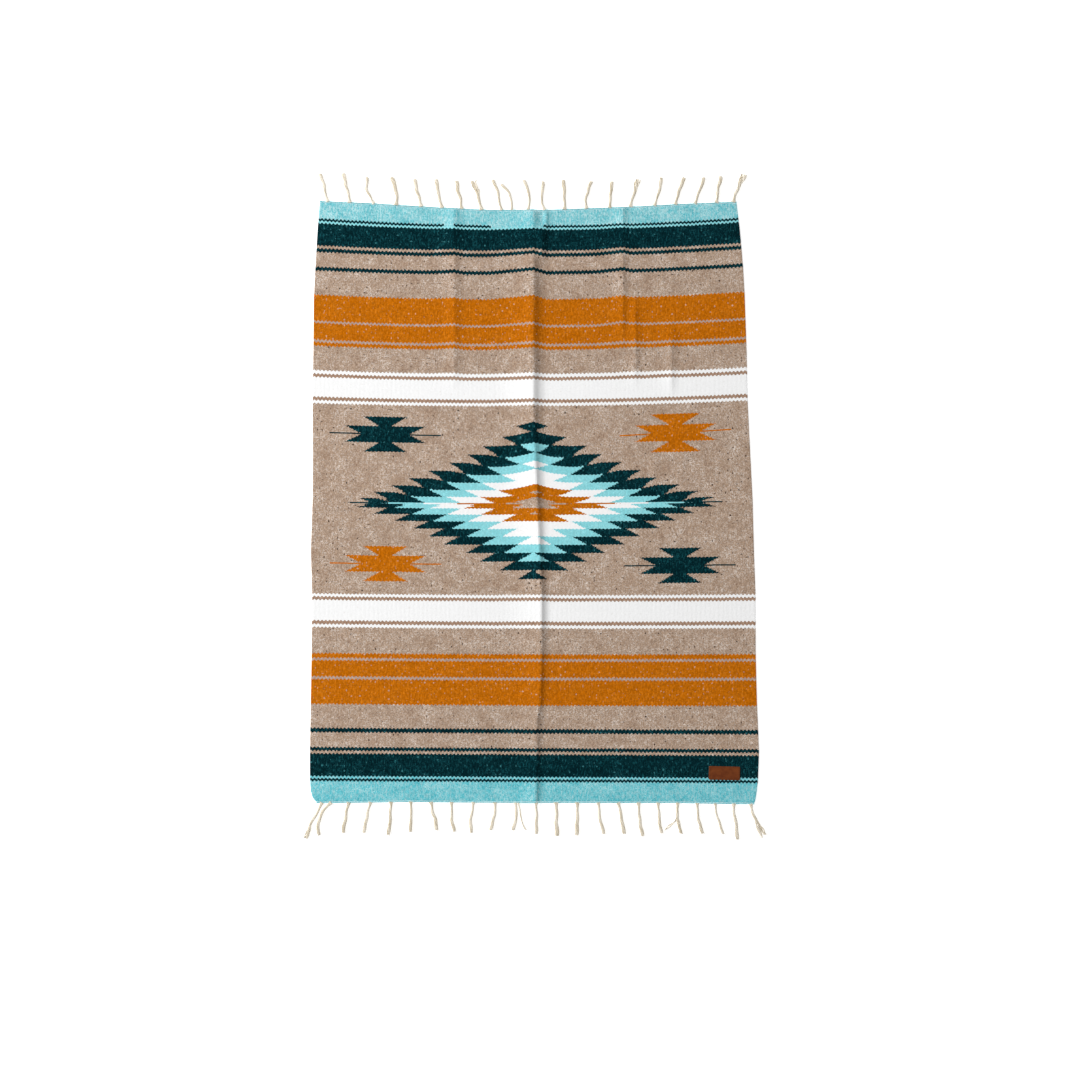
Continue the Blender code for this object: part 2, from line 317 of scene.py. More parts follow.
def lift(x, along):
    """How high the cloth's underside stands off the floor."""
    main_right = between(MAIN_TURN, "right", along)
    main_turn = between(MAIN_TURN, "turn", along)
    main = ridge(x - between(MAIN_CREASE, "x", along), MAIN_LEFT, main_right, main_turn)
    height = between(MAIN_CREASE, "height", along) * main
    for crease in SHORT_CREASES + SECOND_FOLD:
        at = ridge(x - crease.x, crease.left, crease.right, crease.turn)
        height = height + crease.height * fading(along, crease) * at
    for dent in DENTS:
        spot = ((x - dent.x) / dent.across) ** 2 + ((along - dent.along) / dent.lengthways) ** 2
        height = height + dent.height * np.exp(-spot)
    return height


def underside(x, along):
    """The points of the cloth's underside."""
    return np.stack((x, MIDDLE_Y + forward(x, along), lift(x, along)), axis=-1)


def outward_normal(x, along):
    """The way that the cloth's face looks, from its slopes across and along."""
    step = 0.5
    over = underside(x + step, along) - underside(x - step, along)
    up_cloth = underside(x, along + step) - underside(x, along - step)
    normal = np.cross(over, up_cloth)
    return normal / np.linalg.norm(normal, axis=-1, keepdims=True)


def rounded_edge(places):
    """The places, with more of them close to each end, where the cloth's edge rounds over."""
    low, high = places[0], places[-1]
    inner = [place for place in places if low + EDGE_CLEAR < place < high - EDGE_CLEAR]
    before = [low, *(low + e for e in EDGE_POINTS)]
    after = [*(high - e for e in EDGE_POINTS[::-1]), high]
    return np.array(before + inner + after)


crease_lines = [(0.0, *NEAR_MAIN_CREASE), *((crease.x, *NEAR_CREASE) for crease in SHORT_CREASES)]
column_places = [REFERENCE_LEFT]
while column_places[-1] < REFERENCE_RIGHT:
    last = column_places[-1]
    near_crease = any(-before < last - line < after for line, before, after in crease_lines)
    column_places.append(min(REFERENCE_RIGHT, last + (CREASE_STEP if near_crease else COLUMN_STEP)))
columns = rounded_edge(column_places)
rows = rounded_edge(list(np.linspace(-HALF_LENGTH, HALF_LENGTH, int(2 * HALF_LENGTH / ROW_STEP))))

along_grid = np.repeat(rows[:, None], len(columns), axis=1)
x_grid = np.stack([across(columns, along) for along in rows])
from_side = np.minimum(columns - columns[0], columns[-1] - columns)[None, :]
from_end = np.minimum(rows - rows[0], rows[-1] - rows)[:, None]
inside = np.clip(np.minimum(from_side, from_end) / EDGE_ROUND, 0, 1)
thickness = WALL * (EDGE_SHARE + (1 - EDGE_SHARE) * np.sqrt(1 - (1 - inside) ** 2))
under = underside(x_grid, along_grid)
upper = under + thickness[..., None] * outward_normal(x_grid, along_grid)
under[..., 2] += (WALL - thickness) * EDGE_LIFT
count = x_grid.size
index = np.arange(count).reshape(x_grid.shape)
corners = (index[:-1, :-1], index[:-1, 1:], index[1:, 1:], index[1:, :-1])
squares = np.stack(corners, axis=-1).reshape(-1, 4)
rim = np.concatenate((index[0, :-1], index[:-1, -1], index[-1, :0:-1], index[:0:-1, 0]))
rim_after = np.roll(rim, -1)
walls = np.stack((rim, rim_after, rim_after + count, rim + count), axis=-1)
faces = np.concatenate((squares[:, ::-1], squares + count, walls))
points = np.concatenate((under.reshape(-1, 3), upper.reshape(-1, 3)))
cloth = new_object("serape_cloth", points, faces.tolist())
cut = np.tile(np.stack((x_grid, along_grid), axis=-1).reshape(-1, 2), (2, 1)) * MM
corner_points = np.empty(len(cloth.data.loops), np.int32)
cloth.data.loops.foreach_get("vertex_index", corner_points)
cut_map = cloth.data.uv_layers.new(name="cut")
cut_map.data.foreach_set("uv", cut[corner_points].astype(np.float32).ravel())
cloth.data.shade_smooth()

# The weft yarns, by their number on the weaver's chart. Each is carded from its own colour with paler
# curls, darker curls and sparse flecks, and each of those has its strength. The first strength is that
# of the ribs over the warp.
Yarn = namedtuple("Yarn", "name colour ribs pale pales deep deeps fleck flecks")
YARNS = (
    Yarn("undyed taupe", "#A9907B", 0.5, "#DDD1C7", 0.9, "#7F6350", 0.8, "#35261E", 0.95),
    Yarn("turquoise", "#6ABEC7", 0.3, "#C6E8EB", 0.9, "#3AA1B0", 0.85, "#3592A1", 0.5),
    Yarn("dark teal", "#011F25", 0.9, "#1B5A61", 0.5, "#00161A", 0.5, "#3F7F85", 0.7),
    Yarn("burnt orange", "#BA6502", 0.8, "#CB8634", 0.35, "#A15402", 0.5, "#C9A898", 0.75),
    Yarn("bleached white", "#F2F2F2", 0.1, "#F6F6F6", 0.3, "#ECEBE9", 0.3, "#DCD6D0", 0.3),
    Yarn("mixed brown", "#9E7F6A", 0.6, "#C4B0A0", 0.5, "#81604B", 0.5, "#5E4030", 0.4),
    Yarn("lilac grey", "#AE9689", 0.6, "#C6B6AE", 0.5, "#97796A", 0.5, "#82604F", 0.3),
    Yarn("light aqua", "#86D0D7", 0.4, "#B0E7EB", 0.5, "#66BFC9", 0.5, "#5FB4BE", 0.2),
    Yarn("second lot of turquoise", "#59BCC7", 0.3, "#BAE4E8", 0.8, "#3298A8", 0.8, "#3592A1", 0.5),
)
TAUPE, TURQUOISE, TEAL, ORANGE, WHITE, BROWN, LILAC, AQUA, TURQUOISE_LOT_2 = range(len(YARNS))

# The stripes, counted in from each end to the field round the diamond, with their widths at the far
# end and at the near end. The outermost stripe goes on into the cord that binds the cloth's end.
Band = namedtuple("Band", "yarn far near")
BANDS = (
    Band(TURQUOISE, 33.5, 46.5),
    Band(TEAL, 5.5, 5.9),
    Band(AQUA, 4.5, 5.2),
    Band(TEAL, 50.5, 52.9),
    Band(TAUPE, 6, 6.5),
    Band(TEAL, 8.5, 8),
    Band(TAUPE, 34, 35),
    Band(TEAL, 8.5, 10),
    Band(TAUPE, 57, 56),
    Band(ORANGE, 61, 59),
    Band(LILAC, 4.5, 6),
    Band(ORANGE, 39.5, 38),
    Band(LILAC, 5.5, 5.5),
    Band(ORANGE, 8.5, 11),
    Band(TAUPE, 57, 61),
    Band(WHITE, 8, 7),
    Band(BROWN, 7.5, 8.5),
    Band(WHITE, 46.5, 48.5),
    Band(BROWN, 8, 7.5),
    Band(WHITE, 7, 6.5),
)
CHART_STEP = 0.1

# A weft-faced wool weave is matt and a little furry. Its ribs and the mixed colours of its yarns are
# what the eye finds, with small teeth where two colours meet. The real picks are about 1.3 mm apart and
# are drawn twice as coarse here, so that they show.
WARP_PITCH = 3.0
PICK = 2.6
TOOTH = 8.8
TOOTH_HEIGHT = 2.7
TOOTH_SIDE = 1.8
TOOTH_RISE = TOOTH_SIDE * TOOTH_HEIGHT
JAG_SHARE = 0.5
WANDER = 1.6
WANDER_ACROSS = 38.0
WANDER_ALONG = 90.0

cloth_wool, tree, shader = new_material("weft_faced_wool_weave", 0.95, 0.03)
chart_map = add(tree, "ShaderNodeUVMap", {}, uv_map="cut")
in_mm = add(tree, "ShaderNodeVectorMath", {0: chart_map, "Scale": 1 / MM}, operation="SCALE")
value = {"chart": BANDS[0].yarn * CHART_STEP}
value["x"] = add(tree, "ShaderNodeSeparateXYZ", {0: in_mm})
value["v"] = add(tree, "ShaderNodeSeparateXYZ", {0: in_mm}, out=1)


def add_rows(tree, kind, value, rows):
    """Adds a node for each row: the name of its value, its operation and what that acts on."""
    for name, operation, *operands in rows:
        sockets = {place: value.get(operand, operand) for place, operand in enumerate(operands)}
        value[name] = add(tree, kind, sockets, operation=operation)


def laid_in(here, number):
    """The rows that put another yarn on the chart wherever the value here is 1."""
    return ("change", "SUBTRACT", number, "chart"), ("chart", "MULTIPLY_ADD", here, "change", "chart")


MATH = "ShaderNodeMath"
wander_size = (1 / WANDER_ACROSS, 1 / WANDER_ALONG, 0)
wander_place = add(tree, "ShaderNodeVectorMath", {0: in_mm, 1: wander_size}, operation="MULTIPLY")
value["wander"] = add(tree, "ShaderNodeTexNoise", {"Vector": wander_place, "Scale": 1.0, "Detail": 2.0})
add_rows(tree, MATH, value, [
    ("tooth_at", "PINGPONG", "x", TOOTH / 2),
    ("tooth_side", "MULTIPLY_ADD", "tooth_at", 2 * TOOTH_RISE / TOOTH, -TOOTH_RISE / 2),
    ("tooth_low", "MAXIMUM", "tooth_side", -TOOTH_HEIGHT / 2),
    ("tooth_up", "MINIMUM", "tooth_low", TOOTH_HEIGHT / 2),
    ("wandered_v", "MULTIPLY_ADD", "wander", WANDER, "v"),
    ("toothed_v", "ADD", "wandered_v", "tooth_up"),
    ("end_v", "ABSOLUTE", "toothed_v"),
    ("inward", "SUBTRACT", HALF_LENGTH + WANDER / 2, "end_v"),
    ("is_far", "GREATER_THAN", "v", 0.0),
])
far_edge = near_edge = 0.0
for band, following in zip(BANDS, [*BANDS[1:], Band(TAUPE, 0, 0)]):
    far_edge += band.far
    near_edge += band.near
    add_rows(tree, MATH, value, [
        ("edge", "MULTIPLY_ADD", "is_far", far_edge - near_edge, near_edge),
        ("past", "GREATER_THAN", "inward", "edge"),
        ("chart", "MULTIPLY_ADD", "past", (following.yarn - band.yarn) * CHART_STEP, "chart"),
    ])

# The thin dark line in the far turquoise is beaten under, and out of sight, in two places. The near end
# has turquoise of another dye lot, a little deeper, in its outermost stripe and its thin inner line.
# Each place is given by its middle and half its width.
FIRST_GAP = (-206.0, 11.5)
SECOND_GAP = (-47.0, 61.0)
THIN_LINE = (36.2, 3.2)
INNER_LINE = BANDS[0].near + BANDS[1].near + BANDS[2].near / 2
add_rows(tree, MATH, value, [
    ("first_gap", "COMPARE", "x", *FIRST_GAP),
    ("second_gap", "COMPARE", "x", *SECOND_GAP),
    ("gap", "MAXIMUM", "first_gap", "second_gap"),
    ("thin_line", "COMPARE", "inward", *THIN_LINE),
    ("beaten_under", "MULTIPLY", "gap", "thin_line"),
    ("beaten_under", "MULTIPLY", "beaten_under", "is_far"),
    *laid_in("beaten_under", TURQUOISE * CHART_STEP),
    ("outermost", "LESS_THAN", "inward", BANDS[0].near),
    ("outermost_near", "GREATER_THAN", "outermost", "is_far"),
    *laid_in("outermost_near", TURQUOISE_LOT_2 * CHART_STEP),
    ("inner_line", "COMPARE", "inward", INNER_LINE, BANDS[2].near / 2),
    ("inner_line_near", "GREATER_THAN", "inner_line", "is_far"),
    *laid_in("inner_line_near", TURQUOISE_LOT_2 * CHART_STEP),
])

# The serrated diamond in the middle is woven by tapestry steps. Its teeth grow by nearly the same
# number of warps in each row, the rows get lower towards the middle line, and above it they droop at
# their ends and rise like a roof in the middle. One pick runs out on both sides as a needle.
DIAMOND_X = -3.0
DIAMOND_V = 3.0
DIAMOND_LEAN = 0.03
DIAMOND_HALF = 179.0
DIAMOND_ROWS = 10.0
ROW_GROWTH = 0.8333
FIRST_TOOTH = 34.5
TOOTH_STEP = 42.9
STEP_LOSS = 0.1
TOOTH_SLANT = 35.0
SLANT_STEP = 0.14
# No two rows end quite alike, nor do single picks near the middle line.
HAND_WOVEN = 13.0
RAGGED = 11.0
RAGGED_REACH = 26.0
RAGGED_LEAST = 0.15
SIDES_APART = 20.0

NECK = 5.5
ROOF = 13.0
ROOF_REACH = 84.0
ROOF_CURVE = 1.6
DROOP = 10.0
DROOP_STARTS = 20.0
DROOP_RUN = 75.0
NEEDLE_HALF = 1.6
NEEDLE_REACH = 434.0

add_rows(tree, MATH, value, [
    ("from_middle", "SUBTRACT", "wandered_v", DIAMOND_V + WANDER / 2),
    ("from_line", "ABSOLUTE", "from_middle"),
    ("leaned_x", "MULTIPLY_ADD", "from_line", DIAMOND_LEAN, "x"),
    ("off_axis", "SUBTRACT", "leaned_x", DIAMOND_X),
    ("off", "ABSOLUTE", "off_axis"),
    ("above", "GREATER_THAN", "from_middle", 0.0),
    ("roof_share", "MULTIPLY_ADD", "off", -1 / ROOF_REACH, 1.0),
    ("roof_in", "MAXIMUM", "roof_share", 0.0),
    ("roof_curve", "POWER", "roof_in", ROOF_CURVE),
    ("roof_up", "MULTIPLY", "roof_curve", ROOF),
    ("roof", "MULTIPLY", "roof_up", "above"),
    ("straight_share", "DIVIDE", "from_line", DIAMOND_HALF),
    ("straight_curve", "POWER", "straight_share", ROW_GROWTH),
    ("straight_edge", "MULTIPLY_ADD", "straight_curve", -NEEDLE_REACH, NEEDLE_REACH),
    ("straight_in", "SUBTRACT", "straight_edge", "off"),
    ("droop_share", "MULTIPLY_ADD", "straight_in", 1 / DROOP_RUN, -DROOP_STARTS / DROOP_RUN),
    ("droop_least", "MAXIMUM", "droop_share", 0.0),
    ("droop_most", "MINIMUM", "droop_least", 1.0),
    ("droop_above", "MULTIPLY", "droop_most", "above"),
    ("drooped", "MULTIPLY_ADD", "droop_above", DROOP, "from_line"),
    ("jag", "MULTIPLY_ADD", "tooth_up", JAG_SHARE, "drooped"),
    ("under_roof", "SUBTRACT", "jag", "roof"),
    ("under", "MAXIMUM", "under_roof", 0.0),
    ("height_share", "DIVIDE", "under", DIAMOND_HALF),
    ("height_curve", "POWER", "height_share", ROW_GROWTH),
    ("down", "MULTIPLY_ADD", "height_curve", -DIAMOND_ROWS, DIAMOND_ROWS),
    ("row", "FLOOR", "down"),
    ("into_row", "FRACT", "down"),
    ("slant_step", "SNAP", "into_row", SLANT_STEP),
    ("in_diamond", "GREATER_THAN", "down", 0.0),
    ("loss", "MULTIPLY_ADD", "row", -STEP_LOSS, TOOTH_STEP),
    ("grown", "MULTIPLY", "row", "loss"),
    ("tip", "ADD", "grown", FIRST_TOOTH - HAND_WOVEN / 2),
    ("edge", "MULTIPLY_ADD", "slant_step", -TOOTH_SLANT, "tip"),
    ("side", "SIGN", "off_axis"),
    ("row_number", "MULTIPLY_ADD", "above", SIDES_APART, "row"),
])
row_place = add(tree, "ShaderNodeCombineXYZ", {0: value["row_number"], 1: value["side"]})
value["row_chance"] = add(tree, "ShaderNodeTexWhiteNoise", {"Vector": row_place}, noise_dimensions="2D")
value["pick_number"] = add(tree, MATH, {0: value["from_middle"], 1: PICK}, operation="SNAP")
pick_place = add(tree, "ShaderNodeCombineXYZ", {0: value["pick_number"], 1: value["side"]})
value["pick_chance"] = add(tree, "ShaderNodeTexWhiteNoise", {"Vector": pick_place}, noise_dimensions="2D")
add_rows(tree, MATH, value, [
    ("edge", "MULTIPLY_ADD", "row_chance", HAND_WOVEN, "edge"),
    ("pick_off", "SUBTRACT", "pick_chance", 0.5),
    ("ragged_share", "MULTIPLY_ADD", "from_line", -1 / RAGGED_REACH, 1 + RAGGED_LEAST),
    ("ragged", "MAXIMUM", "ragged_share", RAGGED_LEAST),
    ("ragged_off", "MULTIPLY", "pick_off", "ragged"),
    ("edge", "MULTIPLY_ADD", "ragged_off", RAGGED, "edge"),
    ("edge", "MAXIMUM", "edge", NECK),
    ("is_needle", "LESS_THAN", "from_line", NEEDLE_HALF),
    ("needle_edge", "MULTIPLY", "is_needle", NEEDLE_REACH),
    ("full_edge", "MAXIMUM", "edge", "needle_edge"),
    ("inside", "SUBTRACT", "full_edge", "off"),
    ("covered", "GREATER_THAN", "inside", 0.0),
    ("diamond_here", "MULTIPLY", "covered", "in_diamond"),
])

# Inside the teal the other colours nest, each from its own depth in from the edge and its own row.
Nest = namedtuple("Nest", "yarn depth first_row")
NESTS = (
    Nest(AQUA, 89, 2),
    Nest(WHITE, 172, 4),
    Nest(ORANGE, 250, 7),
    Nest(TAUPE, 364, 8),
)
value["nest_chart"] = TEAL * CHART_STEP
for nest in NESTS:
    add_rows(tree, MATH, value, [
        ("past_edge", "GREATER_THAN", "inside", nest.depth),
        ("past_row", "GREATER_THAN", "row", nest.first_row - 0.5),
        ("past", "MULTIPLY", "past_edge", "past_row"),
        ("nest_change", "SUBTRACT", nest.yarn * CHART_STEP, "nest_chart"),
        ("nest_chart", "MULTIPLY_ADD", "past", "nest_change", "nest_chart"),
    ])
add_rows(tree, MATH, value, laid_in("diamond_here", "nest_chart"))

# Four small ornaments stand round the diamond, each a pair of wings between two wedges, with one long
# needle of a single pick.
Ornament = namedtuple("Ornament", "x along yarn needle_tilt half wedge")
ORNAMENTS = (
    Ornament(-354.5, 165.5, TEAL, -0.01, 41.5, 53),
    Ornament(-354.0, -140.5, ORANGE, 0.0, 41.5, 54),
    Ornament(322.0, 166.0, ORANGE, 0.03, 44.6, 61),
    Ornament(332.5, -144.0, TEAL, 0.0, 41, 53),
)
WING_HEIGHT = 19.3
WING_NOTCH = 58.0
WING_REACH = 97.0
WAIST = 16.5
NEEDLE_LENGTH = 130.0
WING_SLOPE = (WING_REACH - WING_NOTCH) / WING_HEIGHT
for ornament in ORNAMENTS:
    wedge_slope = (ornament.wedge - WAIST) / (ornament.half - WING_HEIGHT)
    add_rows(tree, MATH, value, [
        ("o_x", "SUBTRACT", "x", ornament.x),
        ("o_off", "ABSOLUTE", "o_x"),
        ("o_v", "SUBTRACT", "wandered_v", ornament.along + WANDER / 2),
        ("o_jag", "MULTIPLY_ADD", "tooth_up", JAG_SHARE, "o_v"),
        ("o_up", "ABSOLUTE", "o_jag"),
        ("o_step", "SNAP", "o_up", PICK),
        ("o_wing", "MULTIPLY_ADD", "o_step", WING_SLOPE, WING_NOTCH),
        ("o_past", "SUBTRACT", "o_up", WING_HEIGHT),
        ("o_past_step", "SNAP", "o_past", PICK),
        ("o_wedge", "MULTIPLY_ADD", "o_past_step", wedge_slope, WAIST),
        ("o_is_wing", "LESS_THAN", "o_past", 0.0),
        ("o_is_inside", "LESS_THAN", "o_up", ornament.half),
        ("o_is_wedge", "SUBTRACT", "o_is_inside", "o_is_wing"),
        ("o_needle_v", "MULTIPLY_ADD", "o_x", -ornament.needle_tilt, "o_v"),
        ("o_needle_up", "ABSOLUTE", "o_needle_v"),
        ("o_is_needle", "LESS_THAN", "o_needle_up", NEEDLE_HALF),
        ("o_needle_edge", "MULTIPLY", "o_is_needle", NEEDLE_LENGTH),
        ("o_wing_edge", "MULTIPLY", "o_wing", "o_is_wing"),
        ("o_edge", "MULTIPLY_ADD", "o_wedge", "o_is_wedge", "o_wing_edge"),
        ("o_edge", "MAXIMUM", "o_edge", "o_needle_edge"),
        ("o_here", "LESS_THAN", "o_off", "o_edge"),
        *laid_in("o_here", ornament.yarn * CHART_STEP),
    ])
add_rows(tree, MATH, value, [("chart_place", "ADD", "chart", CHART_STEP / 2)])

# Each yarn's colours are flat steps along the chart, with their strengths beside them.
for colour, strength in (("colour", "ribs"), ("pale", "pales"), ("deep", "deeps"), ("fleck", "flecks")):
    value[colour] = add(tree, "ShaderNodeValToRGB", {0: value["chart_place"]})
    value[strength] = value[colour].node.outputs["Alpha"]
    ramp = value[colour].node.color_ramp
    ramp.interpolation = "CONSTANT"
    for number, yarn in enumerate(YARNS):
        element = ramp.elements[number] if number < 2 else ramp.elements.new(number * CHART_STEP)
        element.position = number * CHART_STEP
        element.color = (*linear(getattr(yarn, colour))[:3], getattr(yarn, strength))

# The curls of mixed fibre, the patches where they are many or few, the flecks, and the short streaks
# that stand along the cloth, with the width and length of each.
Noise = namedtuple("Noise", "name width length moved detail")
NOISES = (
    Noise("pale_curl", 5.0, 5.0, (0, 0, 0), 1.0),
    Noise("deep_curl", 5.0, 5.0, (57, 31, 0), 1.0),
    Noise("patchy", 34.0, 34.0, (11, 5, 0), 2.0),
    Noise("fleck_noise", 5.2, 6.5, (23, 71, 0), 0.0),
    Noise("streak", 3.4, 10.0, (0, 0, 0), 0.0),
)
for noise in NOISES:
    scale = (1 / noise.width, 1 / noise.length, 0)
    place = add(tree, "ShaderNodeMapping", {"Vector": in_mm, "Location": noise.moved, "Scale": scale})
    sockets = {"Vector": place, "Scale": 1.0, "Detail": noise.detail}
    value[noise.name] = add(tree, "ShaderNodeTexNoise", sockets, noise_dimensions="2D")
grain_size = (1 / WARP_PITCH, 1 / PICK, 0)
grain_place = add(tree, "ShaderNodeVectorMath", {0: in_mm, 1: grain_size}, operation="MULTIPLY")
grain_cell = add(tree, "ShaderNodeVectorMath", {0: grain_place}, operation="FLOOR")
value["grain"] = add(tree, "ShaderNodeTexWhiteNoise", {"Vector": grain_cell}, noise_dimensions="2D")

# How each noise becomes a share of a colour or a light: what it is multiplied by, and what is added.
Span = namedtuple("Span", "times plus")
PATCH_SPAN = Span(2.0, -0.15)
PATCH_SUM = 1.5
CURL_SPAN = Span(-13.0, 1.0)
STREAK_SPAN = Span(6.0, -3.8)
RIBBED_SPAN = Span(2.0, -0.9)
FLECK_SPAN = Span(12.0, -10.45)
FLECK_PATCHY = 0.15
RIB_SPAN = Span(0.5, 0.75)
GRAIN_SPAN = Span(0.45, 0.775)
add_rows(tree, MATH, value, [
    ("patch_more", "MULTIPLY_ADD", "patchy", *PATCH_SPAN),
    ("patch_less", "SUBTRACT", PATCH_SUM, "patch_more"),
])
for curl, share in (("pale", "patch_more"), ("deep", "patch_less")):
    add_rows(tree, MATH, value, [
        ("curl_off", "SUBTRACT", f"{curl}_curl", 0.5),
        ("curl_far", "ABSOLUTE", "curl_off"),
        ("curl_line", "MULTIPLY_ADD", "curl_far", *CURL_SPAN),
        ("curl_in", "MAXIMUM", "curl_line", 0.0),
        (f"{curl}_patchy", "MULTIPLY", "curl_in", share),
    ])
add_rows(tree, MATH, value, [
    ("streak_line", "MULTIPLY_ADD", "streak", *STREAK_SPAN),
    ("streaky", "MULTIPLY_ADD", "ribs", *RIBBED_SPAN),
    ("streak_line", "MULTIPLY", "streak_line", "streaky"),
    ("pale_most", "MAXIMUM", "pale_patchy", "streak_line"),
    ("pale_least", "MINIMUM", "pale_most", 1.0),
    ("pale_here", "MULTIPLY", "pale_least", "pales"),
    ("deep_here", "MULTIPLY", "deep_patchy", "deeps"),
    ("fleck_up", "MULTIPLY_ADD", "patchy", FLECK_PATCHY, "fleck_noise"),
    ("fleck_line", "MULTIPLY_ADD", "fleck_up", *FLECK_SPAN),
    ("fleck_in", "MAXIMUM", "fleck_line", 0.0),
    ("fleck_most", "MINIMUM", "fleck_in", 1.0),
    ("fleck_here", "MULTIPLY", "fleck_most", "flecks"),
    ("rib_light", "MULTIPLY_ADD", "streak", *RIB_SPAN),
    ("grain_light", "MULTIPLY_ADD", "grain", *GRAIN_SPAN),
    ("both_lights", "MULTIPLY", "rib_light", "grain_light"),
    ("light_more", "SUBTRACT", "both_lights", 1.0),
    ("light", "MULTIPLY_ADD", "light_more", "ribs", 1.0),
])
mixed = value["colour"]
for name, share in (("pale", "pale_here"), ("deep", "deep_here"), ("fleck", "fleck_here")):
    mixing = {0: value[share], 6: mixed, 7: value[name]}
    mixed = add(tree, "ShaderNodeMix", mixing, out=2, data_type="RGBA")
with_light = {0: mixed, "Scale": value["light"]}
lit = add(tree, "ShaderNodeVectorMath", with_light, operation="SCALE")
tree.links.new(lit, shader.inputs["Base Color"])

# The ribs, the picks and the nap stand up a little, and catch the light from the side.
BUMP_DEPTH = 0.4
PICK_RISE = 0.6
NAP_RISE = 1.4
add_rows(tree, MATH, value, [
    ("rib_at", "PINGPONG", "x", WARP_PITCH / 2),
    ("pick_at", "PINGPONG", "v", PICK / 2),
    ("rib_rise", "MULTIPLY", "rib_at", 2 / WARP_PITCH),
    ("pick_rise", "MULTIPLY_ADD", "pick_at", 2 * PICK_RISE / PICK, "rib_rise"),
    ("nap", "MULTIPLY_ADD", "pale_curl", NAP_RISE, "pick_rise"),
])
bump = {"Strength": 0.5, "Distance": BUMP_DEPTH * MM, "Height": value["nap"]}
weave_bump = add(tree, "ShaderNodeBump", bump)
tree.links.new(weave_bump, shader.inputs["Normal"])
cloth.data.materials.append(cloth_wool)

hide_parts("woven_cloth")
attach(cloth, "root")


# A cord of the turquoise weft, twined from three plies, binds each end of the cloth over the knots of
# the warp. It lies close against the last pick.
SEAM = 0.3
CORD_PLIES = 3
PLY_RADIUS = 0.85
PLY_OFFSET = 0.8
PLY_SIDES = 6
CORD_LAY = 8.5
CORD_POINT_STEP = 1.4
CORD_CLEAR = 0.05
FIBRE_SPOT = 3.846

# Twined wool is matt, and its paler and deeper fibres show as fine streaks.
cord_wool, tree, shader = new_material("twined_turquoise_wool", 0.95, 0.03)
place = add(tree, "ShaderNodeTexCoord", {}, out=3)
fibre = add(tree, "ShaderNodeTexNoise", {"Vector": place, "Scale": 1 / (FIBRE_SPOT * MM), "Detail": 2.0})
contrast = add(tree, "ShaderNodeMapRange", {"Value": fibre, "From Min": 0.35, "From Max": 0.65})
fibre_colours = {0: contrast, 6: linear("#62B9C4"), 7: linear("#A9DCE1")}
fibre_colour = add(tree, "ShaderNodeMix", fibre_colours, out=2, data_type="RGBA")
tree.links.new(fibre_colour, shader.inputs["Base Color"])


def tree_with_inputs(name, counts, sizes):
    """A Geometry Nodes tree, and the sockets of its named inputs: its geometry, counts and sizes."""
    made = bpy.data.node_groups.new(name, "GeometryNodeTree")
    made.interface.new_socket("Geometry", in_out="INPUT", socket_type="NodeSocketGeometry")
    made.interface.new_socket("Geometry", in_out="OUTPUT", socket_type="NodeSocketGeometry")
    for socket in counts:
        made.interface.new_socket(socket, in_out="INPUT", socket_type="NodeSocketInt")
    for socket in sizes:
        made.interface.new_socket(socket, in_out="INPUT", socket_type="NodeSocketFloat")
    return made, made.nodes.new("NodeGroupInput").outputs


def round_section(made, lines, sides, radius, **scale):
    """The lines of a tree as tubes with closed ends."""
    ring = {"Resolution": sides, "Radius": radius}
    profile = add(made, "GeometryNodeCurvePrimitiveCircle", ring)
    tube = {0: lines, "Profile Curve": profile, "Fill Caps": True, **scale}
    return add(made, "GeometryNodeCurveToMesh", tube)


def finish_tree(made, geometry, material):
    """Ends a tree: instances made real, then the material."""
    real = add(made, "GeometryNodeRealizeInstances", {0: geometry})
    smooth = add(made, "GeometryNodeSetShadeSmooth", {0: real, "Shade Smooth": True})
    shown = add(made, "GeometryNodeSetMaterial", {0: smooth, "Material": material})
    made.links.new(shown, made.nodes.new("NodeGroupOutput").inputs[0])


def made_plain(name, guide, made, **settings):
    """The mesh that a tree makes from its guide, as an object of its own. The guide goes."""
    modifier = guide.modifiers.new(name, "NODES")
    modifier.node_group = made
    for item in made.interface.items_tree:
        if item.item_type == "SOCKET" and item.in_out == "INPUT" and item.name in settings:
            modifier[item.identifier] = settings[item.name]
    evaluated = guide.evaluated_get(bpy.context.evaluated_depsgraph_get())
    mesh = bpy.data.meshes.new_from_object(evaluated)
    mesh.name = name
    guide.modifiers.remove(modifier)
    bpy.data.objects.remove(guide)
    piece = bpy.data.objects.new(name, mesh)
    bpy.context.scene.collection.objects.link(piece)
    return piece


ply_sizes = ("Ply radius", "Ply offset", "Lay", "Point step")
twining, given = tree_with_inputs("twined_cord", ("Plies", "Sides"), ply_sizes)
line = add(twining, "GeometryNodeMeshToCurve", {0: given["Geometry"]})
by_length = {0: line, "Length": given["Point step"]}
line = add(twining, "GeometryNodeResampleCurve", by_length, mode="LENGTH")
plies = add(twining, "GeometryNodeDuplicateElements", {0: line, "Amount": given["Plies"]}, domain="SPLINE")
twist = {"plies": given["Plies"], "lay": given["Lay"]}
twist["ply"] = plies.node.outputs["Duplicate Index"]
twist["run"] = add(twining, "GeometryNodeSplineParameter", {}, out=1)
add_rows(twining, MATH, twist, [
    ("ply_share", "DIVIDE", "ply", "plies"),
    ("turns", "DIVIDE", "run", "lay"),
    ("turned", "ADD", "turns", "ply_share"),
    ("angle", "MULTIPLY", "turned", math.tau),
    ("cosine", "COSINE", "angle"),
    ("sine", "SINE", "angle"),
])
round_path = add(twining, "ShaderNodeCombineXYZ", {1: twist["cosine"], 2: twist["sine"]})
moved = {0: round_path, "Scale": given["Ply offset"]}
